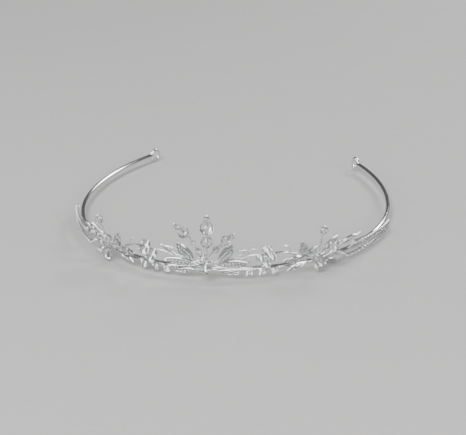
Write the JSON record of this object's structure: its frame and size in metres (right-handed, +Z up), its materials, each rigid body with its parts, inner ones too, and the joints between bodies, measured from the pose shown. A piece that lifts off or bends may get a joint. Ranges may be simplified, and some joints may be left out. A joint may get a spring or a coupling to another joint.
{
  "type": "bridal tiara",
  "caption": "Bridal tiara: sprung wire headband with end loops, leaning flowers of stone-set leaves, threaded crystals that turn on wire stalks, and tapered rows of claw-set stones.",
  "frame": {"origin": "middle of the tiara's box, on the surface it stands on", "axes": "+Z up, -Y to the front where the flowers are, +X to the right as seen from the front"},
  "size_m": [0.146, 0.1481, 0.0328],
  "materials": {
    "band_plating": "bright rhodium-look plating on round steel wire",
    "ornament_plating": "bright rhodium-look plating on cast leaves, cups and wires",
    "clear_crystal": "clear cut glass, polished",
    "cut_stone": "clear round-cut rhinestone with a mirrored back"
  },
  "bodies": {
    "tiara": {"headband": "band_plating", "end_loop_left": "band_plating", "end_loop_right": "band_plating", "centre_hub": "ornament_plating", "centre_upper_leaf_left": "ornament_plating", "centre_upper_leaf_right": "ornament_plating", "centre_side_leaf_left": "ornament_plating", "centre_side_leaf_right": "ornament_plating", "centre_lower_leaf_left": "ornament_plating", "centre_lower_leaf_right": "ornament_plating", "centre_wire_leaf_left": "ornament_plating", "centre_wire_leaf_right": "ornament_plating", "centre_leaf_stones": "cut_stone", "claw_settings": "ornament_plating", "claw_stones": "cut_stone", "centre_stalk": "ornament_plating", "left_stalk": "ornament_plating", "right_stalk": "ornament_plating", "quatrefoil_settings_left": "ornament_plating", "quatrefoil_settings_right": "ornament_plating", "quatrefoil_stones": "cut_stone", "garland_left": "ornament_plating", "garland_right": "ornament_plating", "garland_stones": "cut_stone", "upper_rail_left": "ornament_plating", "upper_rail_right": "ornament_plating", "side_upper_inner_leaf_left": "ornament_plating", "side_upper_inner_leaf_right": "ornament_plating", "side_upper_outer_leaf_left": "ornament_plating", "side_upper_outer_leaf_right": "ornament_plating", "side_lower_inner_leaf_left": "ornament_plating", "side_lower_inner_leaf_right": "ornament_plating", "side_lower_outer_leaf_left": "ornament_plating", "side_lower_outer_leaf_right": "ornament_plating", "side_long_leaves_left": "ornament_plating", "side_long_leaves_right": "ornament_plating", "side_spray_leaf_left": "ornament_plating", "side_spray_leaf_right": "ornament_plating", "side_leaf_stones": "cut_stone", "side_stalks_left": "ornament_plating", "side_stalks_right": "ornament_plating", "side_crystals_left": "clear_crystal", "side_crystals_right": "clear_crystal", "stone_row_left": "ornament_plating", "stone_row_right": "ornament_plating", "row_stones": "cut_stone"},
    "centre_top_bead": {"centre_top_bead": "clear_crystal"},
    "centre_upper_crystal": {"centre_upper_crystal": "clear_crystal"},
    "centre_lower_crystal": {"centre_lower_crystal": "clear_crystal"},
    "left_crystal": {"left_crystal": "clear_crystal", "left_end_bead": "clear_crystal"},
    "left_base_crystal": {"left_base_crystal": "clear_crystal", "left_spacer_bead": "clear_crystal"},
    "right_crystal": {"right_crystal": "clear_crystal", "right_end_bead": "clear_crystal"},
    "right_base_crystal": {"right_base_crystal": "clear_crystal", "right_spacer_bead": "clear_crystal"},
    "side_top_bead_left": {"side_top_bead_left": "clear_crystal"},
    "side_top_bead_right": {"side_top_bead_right": "clear_crystal"}
  },
  "joints": [
    {"name": "centre_top_bead_spin", "type": "hinge", "parent": "tiara", "child": "centre_top_bead", "pos_m": [0.00176, -0.0722, 0.03013], "axis": [0.0657, -0.275, 0.9592], "continuous": true},
    {"name": "centre_upper_crystal_spin", "type": "hinge", "parent": "tiara", "child": "centre_upper_crystal", "pos_m": [0.00147, -0.071, 0.02595], "axis": [0.0657, -0.275, 0.9592], "continuous": true},
    {"name": "centre_lower_crystal_spin", "type": "hinge", "parent": "tiara", "child": "centre_lower_crystal", "pos_m": [0.00098, -0.06893, 0.01871], "axis": [0.0657, -0.275, 0.9592], "continuous": true},
    {"name": "left_crystal_spin", "type": "hinge", "parent": "tiara", "child": "left_crystal", "pos_m": [-0.00849, -0.07022, 0.02322], "axis": [-0.6637, -0.2062, 0.7191], "continuous": true},
    {"name": "left_base_crystal_spin", "type": "hinge", "parent": "tiara", "child": "left_base_crystal", "pos_m": [-0.00301, -0.06743, 0.01349], "axis": [-0.3948, -0.2532, 0.8832], "continuous": true},
    {"name": "right_crystal_spin", "type": "hinge", "parent": "tiara", "child": "right_crystal", "pos_m": [0.00916, -0.06927, 0.01993], "axis": [0.6754, -0.2033, 0.7088], "continuous": true},
    {"name": "right_base_crystal_spin", "type": "hinge", "parent": "tiara", "child": "right_base_crystal", "pos_m": [0.00443, -0.06785, 0.01496], "axis": [0.6754, -0.2033, 0.7088], "continuous": true},
    {"name": "side_top_bead_left_spin", "type": "hinge", "parent": "tiara", "child": "side_top_bead_left", "pos_m": [-0.04833, -0.05481, 0.02059], "axis": [-0.2173, -0.2784, 0.9356], "continuous": true},
    {"name": "side_top_bead_right_spin", "type": "hinge", "parent": "tiara", "child": "side_top_bead_right", "pos_m": [0.04833, -0.05481, 0.02059], "axis": [0.2173, -0.2784, 0.9356], "continuous": true}
  ]
}
